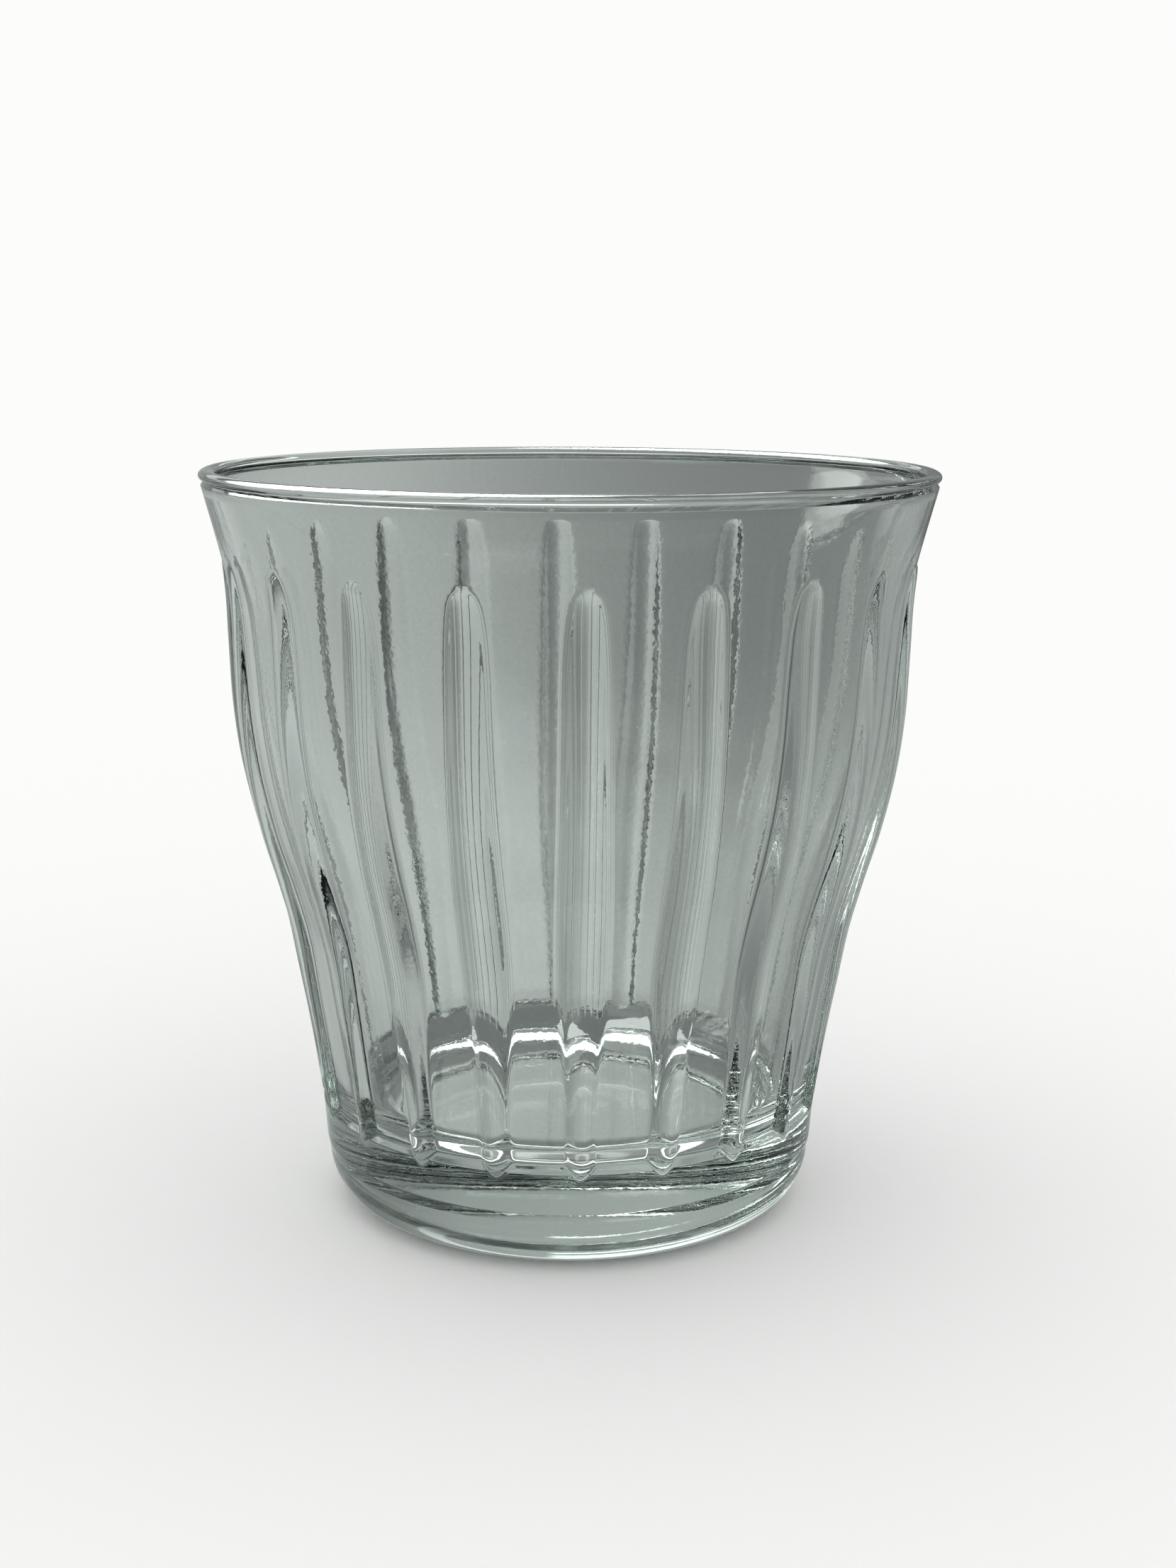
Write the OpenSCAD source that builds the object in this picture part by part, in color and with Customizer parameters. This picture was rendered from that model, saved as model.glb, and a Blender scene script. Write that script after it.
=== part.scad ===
// Pressed juice glass: a flared tumbler in one piece of clear glass.
// Twenty raised ribs climb the waisted wall from a ledge above the thick foot
// and end as round arches in the plain flared band under the rim.

/* [Overall] */
// Height from the table to the top of the rim
glass_h = 90; // [84:1:100]
// Outer diameter over the rim bead
rim_d = 87.6; // [85:0.2:92]
// Diameter across the foot at its ledge
foot_d = 61.4; // [57:0.2:66]

/* [Base] */
// Height of the ledge where the ribbed wall begins
ledge_z = 12.8; // [10:0.2:16]
// Height of the sloping step that leads from the ledge to the panels
ledge_rise = 2.4; // [1.6:0.2:3.2]
// Depth of the step, measured inward from the foot
ledge_in = 1.5; // [1:0.1:2]
// Height at which the foot starts to round under
heel_h = 6.5; // [5:0.5:9]
// How far the side of the foot draws in on its way down to the heel
heel_in = 0.5; // [0.2:0.1:1.2]
// Outer diameter of the ring that the glass stands on
ring_d = 48; // [40:1:52]
// Width of that standing ring
ring_w = 1; // [0.8:0.1:2.4]
// Height of the hollow pushed up under the base
punt_h = 0.4; // [0.3:0.1:1.6]
// Height of the inner floor above the table
floor_z = 11.5; // [9:0.5:14]
// Diameter of the flat part of the inner floor
floor_d = 42; // [34:1:46]
// Height at which the inner wall starts to round into the floor
bowl_z = 17; // [15.5:0.5:22]

/* [Ribs] */
// Number of ribs round the wall
rib_count = 20; // [16:1:24]
// Width of a rib at its broadest
rib_w = 6; // [4:0.1:7]
// Height of a rib above the panels at its fullest
rib_h = 1.3; // [0.6:0.05:1.5]
// Height at which the ribs end as arches
arch_z = 80; // [74:0.5:82]
// How far the tip of a rib runs down over the edge of the foot
toe_h = 0.9; // [0.5:0.1:1.5]
// Turn of the first rib away from the front, in degrees
rib_turn = 2.5; // [0:0.5:18]

/* [Wall] */
// Depth of the panels behind the foot at the ledge
panel_in = 0.7; // [0.3:0.05:0.9]
// Thickness of the rounded rim bead
bead_d = 2; // [1.8:0.1:2.6]
// How far the bead stands out from the wall under it
bead_lip = 0.22; // [0.15:0.01:0.3]
// Wall thickness behind the panels, low in the glass
wall_low = 3.8; // [2.8:0.1:4.4]

/* [Hidden] */
$fn = 180;

rim_r = rim_d / 2;
foot_r = foot_d / 2;
heel_r = foot_r - heel_in;
ring_r = ring_d / 2;
bead_r = bead_d / 2;
// Centre of the bead's section
bead_z = glass_h - bead_r;
bead_c = rim_r - bead_r;
// Where the wall runs into the underside of the bead
neck_a = acos(1 - bead_lip / bead_r);
neck_z = bead_z - bead_r * sin(neck_a);
neck_r = rim_r - bead_lip;
wall_top = bead_d - bead_lip;
panel_r = foot_r - panel_in;
pitch = 360 / rib_count;

// Wall profile across the panels, from the ledge to the bead:
// shares of that height, and of the growth in radius over it
panel_shares = [
    [0, 0], [0.12, 0.103], [0.21, 0.182], [0.3, 0.262], [0.38, 0.377],
    [0.465, 0.518], [0.56, 0.64], [0.65, 0.708], [0.75, 0.742],
    [0.825, 0.772], [0.885, 0.836], [1, 1]];
// Height of the ribs over the panels, and their width, from ledge to arch top
rib_h_shares = [
    [0, 0.7], [0.14, 0.7], [0.33, 0.96], [0.48, 1], [0.63, 0.93],
    [0.79, 0.82], [0.87, 0.73], [0.93, 0.6], [0.97, 0.42], [0.99, 0.24], [1, 0]];
rib_w_shares = [
    [0, 0.66], [0.14, 0.7], [0.33, 0.97], [0.48, 1], [0.63, 0.93],
    [0.79, 0.87], [0.87, 0.84], [0.93, 0.77], [0.97, 0.65], [0.99, 0.48], [1, 0.25]];
// Where a rib's rounded back turns into the fillet at its side
rib_back_share = 0.75;
// Rows of the wall from the ledge to the arch tops, on to the neck, and round the bead
rib_row_shares = [
    0, 0.06, 0.14, 0.22, 0.3, 0.38, 0.46, 0.54,
    0.62, 0.7, 0.77, 0.83, 0.88, 0.92, 0.95, 0.975, 0.99, 1];
neck_row_shares = [0.3, 0.65, 1];
bead_row_shares = [0.17, 0.33, 0.5, 0.67, 0.83, 1];
// Cuts across half a rib, and across a panel
rib_cut_shares = [0, 0.4, 0.75, 1];
panel_cut_shares = [0.25, 0.5, 0.75];
// Half a rib at its widest allowed, and where the cuts lie evenly, as shares of the pitch
rib_room_share = 0.45;
even_cut_share = 0.3;
// Steps along the heel, the punt and the bowl, up the inner wall, and round the lip
arc_steps = 10;
wall_steps = 16;
lip_steps = 6;
// How full the punt's corner is: 1 is an ellipse
punt_share = 0.2;
// How deep the tips of the ribs start, as a share of the step's depth
toe_share = 0.12;

// Smooth curve through a table of [place, value] pairs
function span_at(tab, x, i = 0) =
    (i >= len(tab) - 2 || x < tab[i + 1][0]) ? i : span_at(tab, x, i + 1);
function run_of(tab, i, j) = (tab[j][1] - tab[i][1]) / (tab[j][0] - tab[i][0]);
function tangent_at(tab, i) = run_of(tab, max(i - 1, 0), min(i + 1, len(tab) - 1));
function smooth(tab, x) =
    let (i = span_at(tab, x), a = tab[i], b = tab[i + 1], d = b[0] - a[0])
    let (t = (x - a[0]) / d, p = tangent_at(tab, i) * d, q = tangent_at(tab, i + 1) * d)
    let (rise = t * t * (3 - 2 * t), near = t * (1 - t) * (1 - t), far = t * t * (t - 1))
    a[1] + (b[1] - a[1]) * rise + p * near + q * far;
function mix(a, b, t) = a + (b - a) * t;

// Radius across the panels at a height
function panel_at(z) =
    mix(panel_r, neck_r, smooth(panel_shares, (z - ledge_z) / (neck_z - ledge_z)));
// Share of the way from the ledge to the arch tops
function climb_at(z) = min((z - ledge_z) / (arch_z - ledge_z), 1);
function rib_h_at(z) = rib_h * smooth(rib_h_shares, climb_at(z));
// Half the angle that a rib takes up at a height
function rib_half_at(z) =
    min(rib_w / 2 * smooth(rib_w_shares, climb_at(z)) / panel_at(z) * 180 / PI,
        pitch * rib_room_share);
// Radius of the inner wall at a height
function inner_at(z) =
    panel_at(z) - mix(wall_low, wall_top, (z - bowl_z) / (neck_z - bowl_z));
// Section of a rib: a rounded back, then a fillet out onto the panel
function bell(u) =
    u < rib_back_share ? 1 - u * u / rib_back_share
                       : (1 - u) * (1 - u) / (1 - rib_back_share);

// Each cut is [angle from the rib's middle, share of the rib's height]
function cuts_at(half) = concat(
    [for (u = rib_cut_shares) [u * half, bell(u)]],
    [for (v = panel_cut_shares) [mix(half, pitch - half, v), 0]],
    [for (i = [len(rib_cut_shares) - 1 : -1 : 1])
        [pitch - rib_cut_shares[i] * half, bell(rib_cut_shares[i])]]);
function ring_of(r, h, half, z) =
    [for (k = [0 : rib_count - 1], c = cuts_at(half))
        let (a = rib_turn + k * pitch + c[0] - 90, d = r + h * c[1])
        [d * cos(a), d * sin(a), z]];
// Above the arches the cuts spread out evenly towards the bead
function half_above(s) = mix(rib_half_at(arch_z), pitch * even_cut_share, s);

module ribbed_wall() {
    toe = ledge_in * (1 - toe_share);
    rows = concat(
        [ring_of(foot_r - ledge_in, toe, rib_half_at(ledge_z), ledge_z - toe_h)],
        [for (s = rib_row_shares) let (z = mix(ledge_z, arch_z, s))
            ring_of(panel_at(z), rib_h_at(z), rib_half_at(z), z)],
        [for (s = neck_row_shares) let (z = mix(arch_z, neck_z, s))
            ring_of(panel_at(z), 0, half_above(s), z)],
        [for (s = bead_row_shares) let (a = mix(-neck_a, 90, s))
            ring_of(bead_c + bead_r * cos(a), 0, half_above(1), bead_z + bead_r * sin(a))]);
    n = len(rows[0]);
    last = len(rows) - 1;
    faces = concat(
        [[for (j = [0 : n - 1]) j]],
        [[for (j = [n - 1 : -1 : 0]) last * n + j]],
        [for (i = [0 : last - 1], j = [0 : n - 1])
            [i * n + j, (i + 1) * n + j, i * n + (j + 1) % n]],
        [for (i = [0 : last - 1], j = [0 : n - 1])
            [i * n + (j + 1) % n, (i + 1) * n + j, (i + 1) * n + (j + 1) % n]]);
    polyhedron([for (row = rows, p = row) p], faces);
}

// Foot with its rounded heel, standing ring, punt and sloping step
module foot() {
    heel = [for (i = [0 : arc_steps]) let (a = 90 * i / arc_steps)
        [mix(ring_r, heel_r, sin(a)), heel_h * (1 - cos(a))]];
    step = [[foot_r, ledge_z], [foot_r - ledge_in, ledge_z + ledge_rise], [0, ledge_z + ledge_rise]];
    punt = [for (i = [arc_steps : -1 : 0]) let (a = 90 * i / arc_steps)
        [(ring_r - ring_w) * pow(cos(a), punt_share), punt_h * sin(a)]];
    rotate_extrude() polygon(concat(heel, step, punt));
}

// Space for the drink: rounded floor, waisted wall and the inner side of the bead
module cavity() {
    floor_r = floor_d / 2;
    bowl = [for (i = [arc_steps : -1 : 0])
        let (a = 90 * i / arc_steps, z = mix(bowl_z, floor_z, sin(a)))
        [mix(floor_r, inner_at(z), cos(a)), z]];
    wall = [for (i = [1 : wall_steps]) let (z = mix(bowl_z, neck_z, i / wall_steps))
        [inner_at(z), z]];
    lip = [for (i = [0 : lip_steps - 1]) let (a = 90 * i / lip_steps)
        [bead_c - bead_r * cos(a), bead_z + bead_r * sin(a)]];
    // The last stretch of the lip runs on through the top of the glass
    over = 2 * glass_h - lip[lip_steps - 1][1];
    mouth = [[bead_c, over], [bead_c, glass_h + bead_d], [0, glass_h + bead_d], [0, floor_z]];
    rotate_extrude() polygon(concat(bowl, wall, lip, mouth));
}

module tumbler() {
    color([0.72, 0.78, 0.76, 0.45]) difference() {
        union() {
            foot();
            ribbed_wall();
        }
        cavity();
    }
}

tumbler();
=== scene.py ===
"""A pressed glass tumbler: ribbed, waisted, with a thick foot and a beaded rim."""
import math

import bpy
import numpy as np
from mathutils import Matrix, Vector


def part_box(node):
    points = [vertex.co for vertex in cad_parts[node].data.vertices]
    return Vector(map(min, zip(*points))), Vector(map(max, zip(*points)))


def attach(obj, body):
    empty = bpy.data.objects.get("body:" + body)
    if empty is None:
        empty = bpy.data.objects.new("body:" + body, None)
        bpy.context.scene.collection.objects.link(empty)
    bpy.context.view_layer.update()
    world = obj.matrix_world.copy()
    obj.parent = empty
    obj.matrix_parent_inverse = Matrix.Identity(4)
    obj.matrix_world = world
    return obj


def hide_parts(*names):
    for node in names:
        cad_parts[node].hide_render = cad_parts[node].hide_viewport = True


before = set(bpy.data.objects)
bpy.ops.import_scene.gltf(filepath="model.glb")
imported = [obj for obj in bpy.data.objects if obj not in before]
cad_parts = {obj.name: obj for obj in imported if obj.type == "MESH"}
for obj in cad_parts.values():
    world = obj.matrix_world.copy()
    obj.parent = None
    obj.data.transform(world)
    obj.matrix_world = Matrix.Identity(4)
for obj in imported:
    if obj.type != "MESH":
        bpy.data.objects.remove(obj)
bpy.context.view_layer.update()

MM = 0.001

# Overall sizes, from the solid
node_low, node_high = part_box("tumbler")
HEIGHT = node_high.z - node_low.z
RIM_R = (node_high.x - node_low.x) / 2

# The rim: a bead that is an oval in section, over a slanting undercut
BEAD_R = 1.0 * MM
BEAD_TALL = 0.65 * MM
UNDERCUT = 0.65 * MM
UNDERCUT_LOW = 88.2 * MM
BEAD_Z = HEIGHT - BEAD_TALL
BEAD_C = RIM_R - BEAD_R
# Where on the oval the undercut meets it
UNDERCUT_A = math.acos(1 - UNDERCUT / BEAD_R)

# The solid's round bead stands out this far, which fixes where the wall's profile ends
BEAD_LIP = 0.22 * MM
NECK_Z = HEIGHT - BEAD_R * (1 + math.sin(math.acos(1 - BEAD_LIP / BEAD_R)))
NECK_R = RIM_R - BEAD_LIP

# The foot, with its heel, its standing ring and the hollow under it
FOOT_R = 30.7 * MM
HEEL_R = 30.2 * MM
HEEL_H = 6.5 * MM
RING_R = 24.0 * MM
RING_W = 0.8 * MM
PUNT_H = 0.3 * MM
# How full the punt's corner is: 1 is an ellipse
PUNT_SHARE = 0.15
# A shallow bevel at the lower edge of the foot's side
BEVEL_IN = 0.2 * MM
BEVEL_TOP = 7.9 * MM
BEVEL_R = 30.33 * MM

# The ledge, the sloping step above it, and the fillet where the panels meet the step
LEDGE_Z = 12.8 * MM
LEDGE_RISE = 2.4 * MM
LEDGE_IN = 1.5 * MM
LEDGE_SOFT = 0.12 * MM

# The tips of the ribs, which run down over the edge of the foot
TOE_H = 1.0 * MM
TOE_SHARE = 0.12
TOE_SOFT = 0.06 * MM

# The wall and the bowl inside it
PANEL_R = FOOT_R - 0.7 * MM
WALL_LOW = 3.8 * MM
WALL_TOP = 2 * BEAD_R - BEAD_LIP
FLOOR_Z = 11.5 * MM
FLOOR_R = 21.0 * MM
BOWL_Z = 17.0 * MM

# The ribs
RIB_COUNT = 20
RIB_W = 6.0 * MM
RIB_H = 1.3 * MM
# Where a rib's rounded back turns into the fillet at its side
RIB_BACK_SHARE = 0.75
RIB_TURN = math.radians(2.5)
ARCH_Z = 80.0 * MM
PITCH = 2 * math.pi / RIB_COUNT

# Shares of the way up, and of the value there, as in the solid
PANEL_SHARES = [
    (0, 0), (0.12, 0.103), (0.21, 0.182), (0.3, 0.262), (0.38, 0.377), (0.465, 0.518),
    (0.56, 0.64), (0.65, 0.708), (0.75, 0.742), (0.825, 0.772), (0.885, 0.836), (1, 1)]
RIB_H_SHARES = [
    (0, 0.7), (0.14, 0.7), (0.33, 0.96), (0.48, 1), (0.63, 0.93),
    (0.79, 0.82), (0.87, 0.73), (0.93, 0.6), (0.97, 0.42), (0.99, 0.24), (1, 0)]
RIB_W_SHARES = [
    (0, 0.66), (0.14, 0.7), (0.33, 0.97), (0.48, 1), (0.63, 0.93),
    (0.79, 0.87), (0.87, 0.84), (0.93, 0.77), (0.97, 0.65), (0.99, 0.48), (1, 0.25)]

# How finely the mesh is cut
RIB_CUTS = 12
PANEL_CUTS = 8
ARC_ROWS = 24
HEEL_ROWS = 90
FOOT_ROWS = 44
WALL_ROWS = 150
BAND_ROWS = 30
UNDERCUT_ROWS = 9
INNER_ROWS = 70
FLOOR_RINGS = (0.75, 0.5, 0.25)
# The wall's rows crowd towards the ledge, and the band's towards the rim
WALL_CROWD = 1.5
BAND_CROWD = 2

# The room that the glass bends and mirrors. It is a guess, and its greys were set by trial.
# Each table is (place, grey), with places from -1 to 1 along one axis of a direction.
# From straight down to straight up
HEIGHT_GREYS = [
    (-1, 0.45), (-0.985, 0.45), (-0.98, 0.8), (-0.96, 0.8), (-0.95, 0.45),
    (-0.865, 0.45), (-0.86, 2.2), (-0.8, 2.2), (-0.79, 0.45), (-0.62, 0.5),
    (-0.38, 0.55), (-0.31, 0.66), (-0.25, 0.61), (-0.18, 0.52), (-0.05, 0.49), (0.08, 0.48),
    (0.3, 0.48), (0.78, 0.48), (0.83, 0.09), (0.93, 0.09), (1, 0.3)]
# From left to right, below and above eye level
LOW_SIDE_GREYS = [
    (-1, 0.85), (-0.4, 0.95), (-0.12, 1), (0.08, 0.85), (0.3, 0.72),
    (0.62, 0.6), (0.74, 0.5), (1, 0.3)]
HIGH_SIDE_GREYS = [(-1, 0.9), (-0.3, 1), (0.3, 0.8), (0.6, 0.5), (1, 0.5)]
EYE_LEVEL = (-0.02, 0.1)
# From behind the camera to beyond the glass
DEPTH_GREYS = [(-1, 0.3), (-0.3, 0.3), (-0.05, 0.4), (0.2, 1)]
# A dark band low down, which the undercut of the rim shows
BAND_HIGH = [(-1, 0), (-0.79, 0), (-0.77, 1), (-0.56, 1), (-0.46, 0)]
BAND_WIDE = [(-1, 0), (-0.8, 0), (-0.62, 1), (0.3, 1), (0.5, 0)]
BAND_GREY = 0.2
# A long pale strip above eye level, which gives the heel its white line and the rim a second one
STRIP_HIGH = [(-1, 0), (0.19, 0), (0.21, 1), (0.29, 1), (0.31, 0)]
STRIP_WIDE = [(-1, 0), (-0.85, 0), (-0.8, 1), (0.03, 1), (0.06, 0)]
STRIP_LIGHT = 1.0
# Soft lights: direction, radius and soft edge in degrees, strength. The last one takes light away.
WINDOW = ((-0.87, 0.33, 0.37), 11, 4, 3.0)
LAMP = ((-0.45, -0.5, 0.74), 12, 8, 1.5)
SHADE = ((0.16, 0.97, -0.08), 4, 12, -0.18)
# A wide panel overhead, to the left, that only mirrored rays see
PANEL = ((-0.5, 0.35, 0.8), 32, 4, 16.0)
ROOM_TINT = "#F7FFFB"
# What the camera sees of the studio, and the light that falls on the floor
BACKDROP = "#FCFCFB"
FLOOR_LIGHT = 1.02

# The camera as fitted to the rim, the foot and the sides in the 1659 x 2212 frame
FRAME_LONG = 2212
FOCAL = 3100
CAMERA_AWAY = 264 * MM
CAMERA_OVER = 16.81 * MM
CAMERA_TURNS = (11.86, 0.488, 0.259)
SENSOR = 36

# The floor's sheet
FLOOR_REACH = 4.0
FLOOR_SIDES = 96


def mix(a, b, t):
    """The value a share of the way from one number to another."""
    return a + (b - a) * t


def curve_at(table, x):
    """Smooth curve through a table of (place, value), the same as in the solid."""
    last = len(table) - 1
    i = max(k for k in range(last) if k == 0 or table[k][0] <= x)

    def slope(k):
        (x0, y0), (x1, y1) = table[max(k - 1, 0)], table[min(k + 1, last)]
        return (y1 - y0) / (x1 - x0)

    (x0, y0), (x1, y1) = table[i], table[i + 1]
    d = x1 - x0
    t = (x - x0) / d
    near, far = t * (1 - t) ** 2, t * t * (t - 1)
    return y0 + (y1 - y0) * t * t * (3 - 2 * t) + (slope(i) * near + slope(i + 1) * far) * d


def panel_at(z):
    """Radius of the wall between the ribs."""
    return mix(PANEL_R, NECK_R, curve_at(PANEL_SHARES, (z - LEDGE_Z) / (NECK_Z - LEDGE_Z)))


def inner_at(z):
    """Radius of the inner wall."""
    return panel_at(z) - mix(WALL_LOW, WALL_TOP, (z - BOWL_Z) / (NECK_Z - BOWL_Z))


def side_at(z):
    """Radius of the foot's side, with the bevel that its lower edge has."""
    return np.interp(z, [HEEL_H, BEVEL_TOP, LEDGE_Z], [HEEL_R - BEVEL_IN, BEVEL_R, FOOT_R])


def climb_at(z):
    """Share of the way from the ledge to the tops of the arches."""
    return min((z - LEDGE_Z) / (ARCH_Z - LEDGE_Z), 1)


def rib_h_at(z):
    """How far a rib stands out from the panels."""
    return RIB_H * max(curve_at(RIB_H_SHARES, climb_at(z)), 0)


def rib_half_at(z):
    """Half the angle that a rib takes up."""
    return RIB_W / 2 * curve_at(RIB_W_SHARES, climb_at(z)) / panel_at(z)


def bell(u):
    """Section of a rib: a rounded back, then a fillet out onto the panel."""
    k = RIB_BACK_SHARE
    return np.where(u < k, 1 - u * u / k, (1 - u) ** 2 / (1 - k))


def soft_max(a, b, blend):
    """The larger of two radii, with the inner corner between them filled."""
    return (a + b + np.sqrt((a - b) ** 2 + blend * blend)) / 2


def columns(half):
    """Angles round the glass, and the share of the rib's height at each."""
    u = np.linspace(0, 1, RIB_CUTS + 1)
    side = np.concatenate([u * half, np.linspace(half, PITCH / 2, PANEL_CUTS + 1)[1:]])
    rise = np.concatenate([bell(u), np.zeros(PANEL_CUTS)])
    angles = np.concatenate([-side[::-1], side[1:-1]])
    rises = np.concatenate([rise[::-1], rise[1:-1]])
    ribs = RIB_TURN + PITCH * np.arange(RIB_COUNT)
    return (ribs[:, None] + angles).ravel(), np.tile(rises, RIB_COUNT)


def ring(radii, angles, z):
    """One row of the mesh. Angle 0 faces -Y and grows towards +X."""
    r = np.broadcast_to(radii, angles.shape)
    return np.stack([r * np.sin(angles), -r * np.cos(angles), np.full(len(angles), z)], -1)


def foot_rows():
    """Rows from the punt, round the standing ring and the heel, up to the ledge."""
    angles, rises = columns(rib_half_at(LEDGE_Z))
    rows = []
    for a in np.linspace(0, math.pi / 2, ARC_ROWS)[::-1][1:]:
        r = (RING_R - RING_W) * max(math.cos(a), 0) ** PUNT_SHARE
        rows.append(ring(r, angles, PUNT_H * math.sin(a)))
    for a in np.linspace(0, math.pi / 2, HEEL_ROWS):
        r = mix(RING_R, HEEL_R - BEVEL_IN, math.sin(a))
        rows.append(ring(r, angles, HEEL_H * (1 - math.cos(a))))
    for s in np.linspace(0, 1, FOOT_ROWS)[1:]:
        z = mix(HEEL_H, LEDGE_Z, s)
        side = side_at(z)
        t = (z - LEDGE_Z + TOE_H) / TOE_H
        if t > 0:
            tip = mix(LEDGE_IN * (1 - TOE_SHARE), rib_h_at(LEDGE_Z), t) * rises
            side = soft_max(mix(FOOT_R - LEDGE_IN, PANEL_R, t) + tip, side, TOE_SOFT)
        rows.append(ring(side, angles, z))
    return rows


def wall_rows():
    """Rows of the ribbed wall, from the ledge to the tops of the arches."""
    rows = []
    for s in np.linspace(0, 1, WALL_ROWS + 1)[1:] ** WALL_CROWD:
        z = mix(LEDGE_Z, ARCH_Z, s)
        angles, rises = columns(rib_half_at(z))
        wall = panel_at(z) + rib_h_at(z) * rises
        step = FOOT_R - LEDGE_IN * (z - LEDGE_Z) / LEDGE_RISE
        rows.append(ring(soft_max(wall, step, LEDGE_SOFT), angles, z))
    return rows


def rim_rows():
    """Rows of the plain band, the undercut and the bead, over to the bead's inner side."""
    angles, _ = columns(rib_half_at(ARCH_Z))
    rows = []
    for s in 1 - (1 - np.linspace(0, 1, BAND_ROWS + 1)[1:]) ** BAND_CROWD:
        z = mix(ARCH_Z, UNDERCUT_LOW, s)
        rows.append(ring(panel_at(z), angles, z))
    undercut_top = BEAD_Z - BEAD_TALL * math.sin(UNDERCUT_A)
    for s in np.linspace(0, 1, UNDERCUT_ROWS)[1:]:
        r = mix(panel_at(UNDERCUT_LOW), RIM_R - UNDERCUT, s)
        rows.append(ring(r, angles, mix(UNDERCUT_LOW, undercut_top, s)))
    for a in np.linspace(-UNDERCUT_A, math.pi, 2 * ARC_ROWS)[1:]:
        r, z = BEAD_C + BEAD_R * math.cos(a), BEAD_Z + BEAD_TALL * math.sin(a)
        rows.append(ring(r, angles, z))
    return rows


def bowl_rows():
    """Rows down the inner wall, round the bowl's corner and in over its floor."""
    rows = []
    for s in np.linspace(0, 1, INNER_ROWS):
        z = mix(NECK_Z, BOWL_Z, s)
        angles, _ = columns(rib_half_at(min(z, ARCH_Z)))
        rows.append(ring(inner_at(z), angles, z))
    for a in np.linspace(0, math.pi / 2, ARC_ROWS)[1:]:
        z = mix(BOWL_Z, FLOOR_Z, math.sin(a))
        rows.append(ring(mix(FLOOR_R, inner_at(z), math.cos(a)), angles, z))
    for s in FLOOR_RINGS:
        rows.append(ring(FLOOR_R * s, angles, FLOOR_Z))
    return rows


def closed_mesh(name, rows, start, end):
    """A closed skin over the rows, with a point at each end."""
    n = len(rows[0])
    points = [start] + [p for row in rows for p in row] + [end]
    faces = [(0, 1 + (j + 1) % n, 1 + j) for j in range(n)]
    for i in range(len(rows) - 1):
        a, b = 1 + i * n, 1 + (i + 1) * n
        faces += [(a + j, a + (j + 1) % n, b + (j + 1) % n, b + j) for j in range(n)]
    a, top = 1 + (len(rows) - 1) * n, len(points) - 1
    faces += [(a + j, a + (j + 1) % n, top) for j in range(n)]
    mesh = bpy.data.meshes.new(name)
    mesh.from_pydata([tuple(p) for p in points], [], faces)
    mesh.shade_smooth()
    return mesh


def linear(colour):
    """Linear RGB of an sRGB hex colour."""
    parts = [int(colour[i:i + 2], 16) / 255 for i in (1, 3, 5)]
    return [p / 12.92 if p <= 0.04045 else ((p + 0.055) / 1.055) ** 2.4 for p in parts]


def add(tree, kind, inputs=None, stops=None, **settings):
    """A node with its settings and links. An input is a value or another node's output.

    Stops are (place, grey) for a colour ramp, with places from -1 to 1.
    """
    node = tree.nodes.new(kind)
    for name, value in settings.items():
        setattr(node, name, value)
    for name, value in (inputs or {}).items():
        if isinstance(value, bpy.types.NodeSocket):
            tree.links.new(value, node.inputs[name])
        else:
            node.inputs[name].default_value = value
    if stops:
        elements = node.color_ramp.elements
        elements.remove(elements[0])
        for i, (place, grey) in enumerate(stops):
            at = (place + 1) / 2
            element = elements[0] if i == 0 else elements.new(at)
            element.position = at
            element.color = (grey, grey, grey, 1)
    return node


def new_material(name):
    """An empty material and its nodes."""
    material = bpy.data.materials.new(name)
    material.use_nodes = True
    material.node_tree.nodes.clear()
    return material, material.node_tree


def pressed_soda_lime_glass():
    """Soda-lime glass, pressed and fire-polished: clear, faintly green, with a soft peel."""
    material, tree = new_material("pressed_soda_lime_glass")
    place = add(tree, "ShaderNodeTexCoord").outputs["Object"]
    # The mould and the fire leave waves about 4 mm apart that bend what is seen through them
    waves = add(tree, "ShaderNodeTexNoise", {"Vector": place, "Scale": 1 / (4 * MM), "Detail": 2.0})
    bent = add(tree, "ShaderNodeBump", {
        "Height": waves.outputs["Fac"], "Strength": 0.25, "Distance": 0.02 * MM})
    # The iron mould leaves a fine peel, drawn 0.6 mm wide so that it shows
    grain = add(tree, "ShaderNodeTexNoise", {"Vector": place, "Scale": 1 / (0.6 * MM), "Detail": 1.0})
    peel = add(tree, "ShaderNodeBump", {
        "Height": grain.outputs["Fac"], "Strength": 0.3, "Distance": 0.01 * MM,
        "Normal": bent.outputs["Normal"]})
    # Faint specks stand in for the finest grain, drawn 0.45 mm wide so that they can show
    specks = add(tree, "ShaderNodeTexNoise", {"Vector": place, "Scale": 1 / (0.45 * MM), "Detail": 2.0})
    clear = add(tree, "ShaderNodeMix", {
        0: specks.outputs["Fac"], 6: (*linear("#F0F4F2"), 1), 7: (*linear("#FFFFFF"), 1)},
        data_type="RGBA")
    # Soda-lime glass has an index of 1.52, and the fire leaves its surface smooth
    shader = add(tree, "ShaderNodeBsdfPrincipled", {
        "Base Color": clear.outputs[2], "Roughness": 0.0, "IOR": 1.52,
        "Transmission Weight": 1.0, "Normal": peel.outputs["Normal"]})
    # A trace of iron makes the thick foot greener than the wall
    tint = add(tree, "ShaderNodeVolumeAbsorption", {"Color": (*linear("#CFE3DB"), 1), "Density": 6.0})
    add(tree, "ShaderNodeOutputMaterial", {
        "Surface": shader.outputs["BSDF"], "Volume": tint.outputs["Volume"]})
    return material


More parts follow.
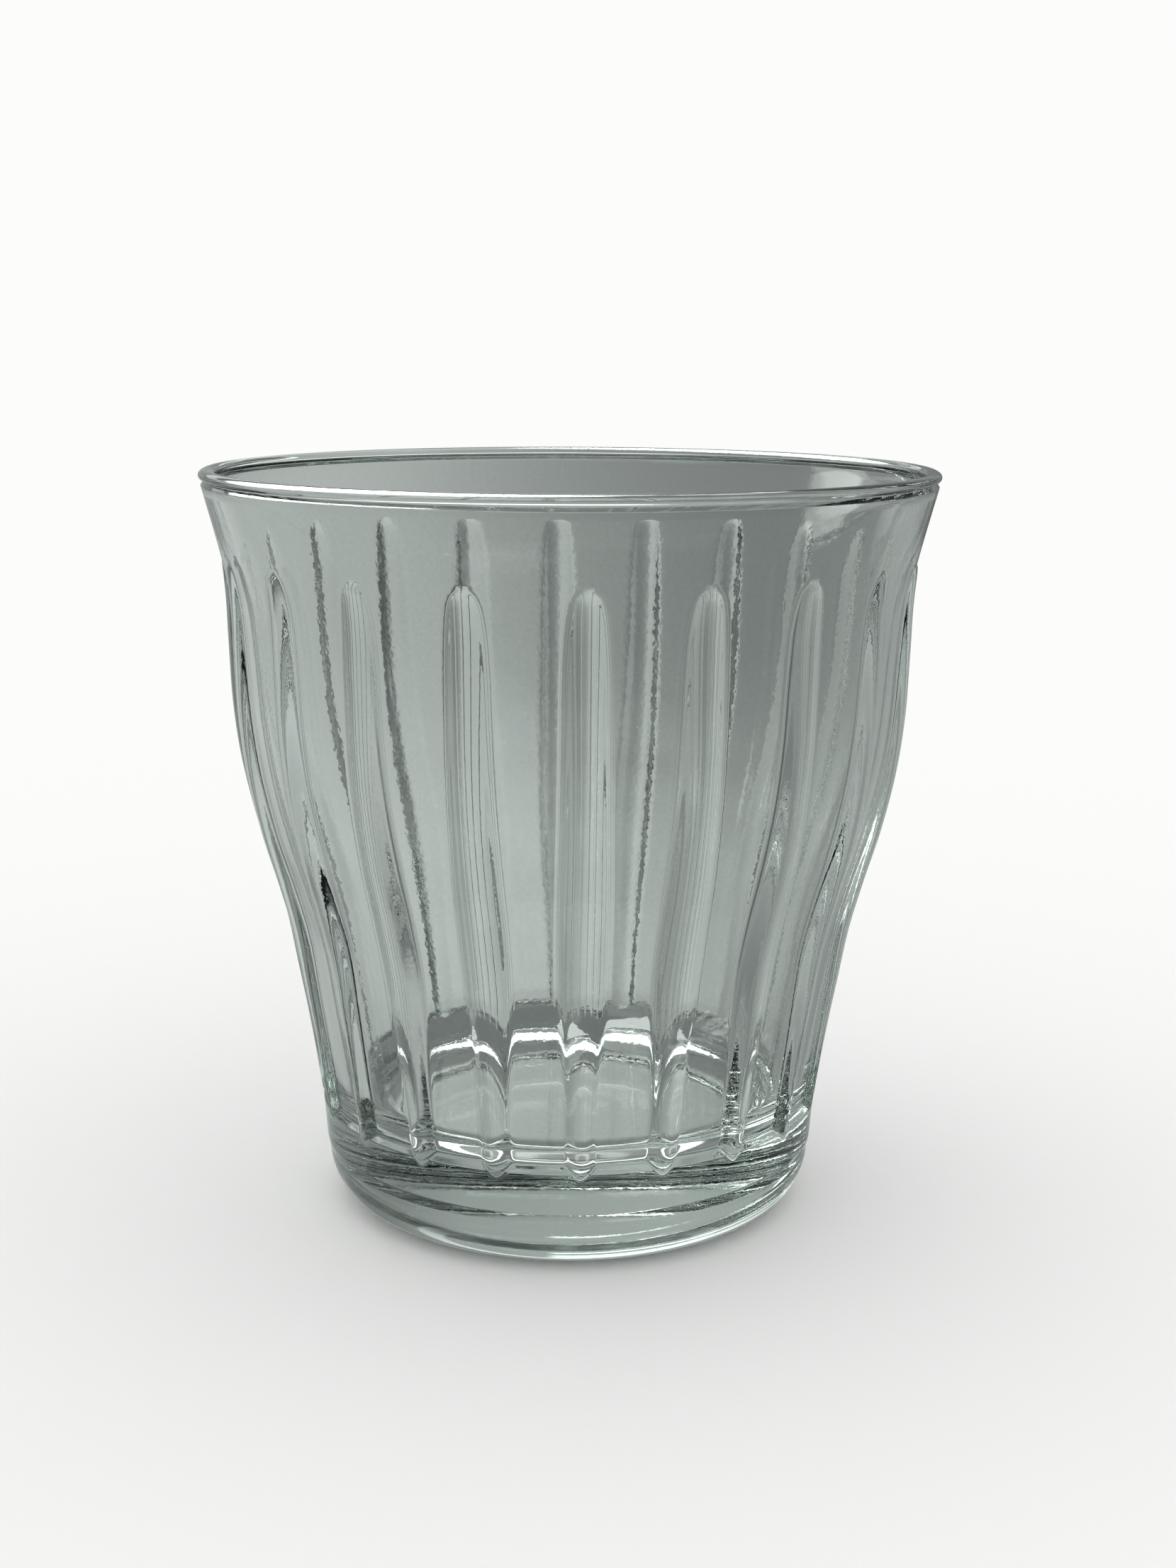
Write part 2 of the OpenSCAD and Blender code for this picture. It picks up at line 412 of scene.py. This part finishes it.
def pale_floor():
    """A pale matt sheet, which takes the glass's soft shadow."""
    material, tree = new_material("pale_matt_sheet")
    shader = add(tree, "ShaderNodeBsdfDiffuse", {"Color": (*linear("#FAFAF9"), 1)})
    add(tree, "ShaderNodeOutputMaterial", {"Surface": shader.outputs["BSDF"]})
    return material


def soft_light(tree, direction, towards, radius, edge, strength):
    """A round soft light in the world."""
    near = add(tree, "ShaderNodeVectorMath", {
        0: direction, 1: Vector(towards).normalized()}, operation="DOT_PRODUCT")
    return add(tree, "ShaderNodeMapRange", {
        "Value": near.outputs["Value"], "From Min": math.cos(math.radians(radius + edge)),
        "From Max": math.cos(math.radians(radius)), "To Max": strength},
        interpolation_type="SMOOTHSTEP").outputs["Result"]


def grey_room(tree, direction, path):
    """The guessed room: greys by height, side and depth, a dark band and soft lights."""
    along = add(tree, "ShaderNodeSeparateXYZ", {"Vector": direction}).outputs
    # A colour ramp runs from 0 to 1, so the direction is halved and moved up
    halved = add(tree, "ShaderNodeVectorMath", {
        0: direction, 1: (0.5, 0.5, 0.5), 2: (0.5, 0.5, 0.5)}, operation="MULTIPLY_ADD")
    place = add(tree, "ShaderNodeSeparateXYZ", {"Vector": halved.outputs["Vector"]}).outputs
    tables = {
        "height": ("Z", HEIGHT_GREYS), "low_side": ("X", LOW_SIDE_GREYS),
        "high_side": ("X", HIGH_SIDE_GREYS), "depth": ("Y", DEPTH_GREYS),
        "band_high": ("Z", BAND_HIGH), "band_wide": ("X", BAND_WIDE),
        "strip_high": ("Z", STRIP_HIGH), "strip_wide": ("X", STRIP_WIDE)}
    greys = {
        name: add(tree, "ShaderNodeValToRGB", {"Fac": place[axis]}, stops).outputs["Color"]
        for name, (axis, stops) in tables.items()}
    up = add(tree, "ShaderNodeMapRange", {
        "Value": along["Z"], "From Min": EYE_LEVEL[0], "From Max": EYE_LEVEL[1]})
    side = add(tree, "ShaderNodeMix", {
        0: up.outputs["Result"], 6: greys["low_side"], 7: greys["high_side"]}, data_type="RGBA")
    room = greys["height"]
    for part in (side.outputs[2], greys["depth"]):
        room = add(tree, "ShaderNodeVectorMath", {0: room, 1: part}, operation="MULTIPLY").outputs[0]
    band = add(tree, "ShaderNodeMath", {
        0: greys["band_high"], 1: greys["band_wide"]}, operation="MULTIPLY")
    room = add(tree, "ShaderNodeMix", {
        0: band.outputs["Value"], 6: room, 7: (BAND_GREY, BAND_GREY, BAND_GREY, 1)},
        data_type="RGBA").outputs[2]
    strip = greys["depth"]
    for part in (greys["strip_high"], greys["strip_wide"], (STRIP_LIGHT,) * 3):
        strip = add(tree, "ShaderNodeVectorMath", {0: strip, 1: part}, operation="MULTIPLY").outputs[0]
    lights = [soft_light(tree, direction, *light) for light in (WINDOW, LAMP, SHADE)]
    for light in lights + [strip]:
        room = add(tree, "ShaderNodeVectorMath", {0: room, 1: light}, operation="ADD").outputs[0]
    # Light that passes through sharp glass also counts as glossy, so it is taken off
    mirrored = add(tree, "ShaderNodeMath", {
        0: path["Is Glossy Ray"], 1: path["Is Transmission Ray"]}, operation="SUBTRACT", use_clamp=True)
    room = add(tree, "ShaderNodeVectorMath", {
        0: soft_light(tree, direction, *PANEL), 1: mirrored.outputs["Value"], 2: room},
        operation="MULTIPLY_ADD").outputs[0]
    return add(tree, "ShaderNodeVectorMath", {
        0: room, 1: linear(ROOM_TINT)}, operation="MULTIPLY").outputs[0]


def studio_world():
    """A pale studio. What the glass bends and mirrors is a grey room with a window to the left."""
    world = bpy.data.worlds.new("studio")
    bpy.context.scene.world = world
    world.use_nodes = True
    # The floor's light is known by its diffuse rays, so the world isn't sampled as a lamp
    world.cycles.sampling_method = "NONE"
    tree = world.node_tree
    tree.nodes.clear()
    direction = add(tree, "ShaderNodeTexCoord").outputs["Generated"]
    path = add(tree, "ShaderNodeLightPath").outputs
    room = grey_room(tree, direction, path)
    plain = add(tree, "ShaderNodeMath", {
        0: path["Is Camera Ray"], 1: path["Is Diffuse Ray"]}, operation="MAXIMUM")
    pale = add(tree, "ShaderNodeMix", {
        0: path["Is Diffuse Ray"], 6: (*linear(BACKDROP), 1),
        7: (FLOOR_LIGHT, FLOOR_LIGHT, FLOOR_LIGHT, 1)}, data_type="RGBA")
    seen = add(tree, "ShaderNodeMix", {
        0: plain.outputs["Value"], 6: room, 7: pale.outputs[2]}, data_type="RGBA")
    light = add(tree, "ShaderNodeBackground", {"Color": seen.outputs[2], "Strength": 1.0})
    add(tree, "ShaderNodeOutputWorld", {"Surface": light.outputs["Background"]})


def photograph_camera():
    """A camera that sees the glass as the photograph does."""
    pitch, yaw, roll = (math.radians(a) for a in CAMERA_TURNS)
    data = bpy.data.cameras.new("camera")
    data.sensor_width = SENSOR
    data.lens = FOCAL / FRAME_LONG * data.sensor_width
    data.clip_start = 10 * MM
    camera = bpy.data.objects.new("camera", data)
    bpy.context.scene.collection.objects.link(camera)
    ahead = Vector((math.sin(yaw) * math.cos(pitch), math.cos(yaw) * math.cos(pitch), -math.sin(pitch)))
    turn = ahead.to_track_quat("-Z", "Y").to_matrix().to_4x4()
    place = Matrix.Translation((0, -CAMERA_AWAY, HEIGHT + CAMERA_OVER))
    camera.matrix_world = place @ turn @ Matrix.Rotation(roll, 4, "Z")
    bpy.context.scene.camera = camera


def floor():
    """A wide round sheet under the glass."""
    turns = [2 * math.pi * i / FLOOR_SIDES for i in range(FLOOR_SIDES)]
    corners = [(FLOOR_REACH * math.cos(a), FLOOR_REACH * math.sin(a), 0) for a in turns]
    mesh = bpy.data.meshes.new("floor")
    mesh.from_pydata(corners, [], [range(FLOOR_SIDES)])
    sheet = bpy.data.objects.new("floor", mesh)
    bpy.context.scene.collection.objects.link(sheet)
    sheet.data.materials.append(pale_floor())
    # What the glass bends and mirrors is the room, which the world draws
    sheet.visible_transmission = False
    sheet.visible_glossy = False


photograph_camera()
studio_world()
floor()

scene = bpy.context.scene
scene.view_settings.view_transform = "Standard"
# Light crosses many surfaces of the glass before it reaches the camera
scene.cycles.max_bounces = 24
scene.cycles.transmission_bounces = 24
scene.cycles.glossy_bounces = 12

rows = foot_rows() + wall_rows() + rim_rows() + bowl_rows()
glass = bpy.data.objects.new(
    "tumbler_glass", closed_mesh("tumbler_glass", rows, (0, 0, PUNT_H), (0, 0, FLOOR_Z)))
scene.collection.objects.link(glass)
glass.data.materials.append(pressed_soda_lime_glass())
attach(glass, "root")
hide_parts("tumbler")
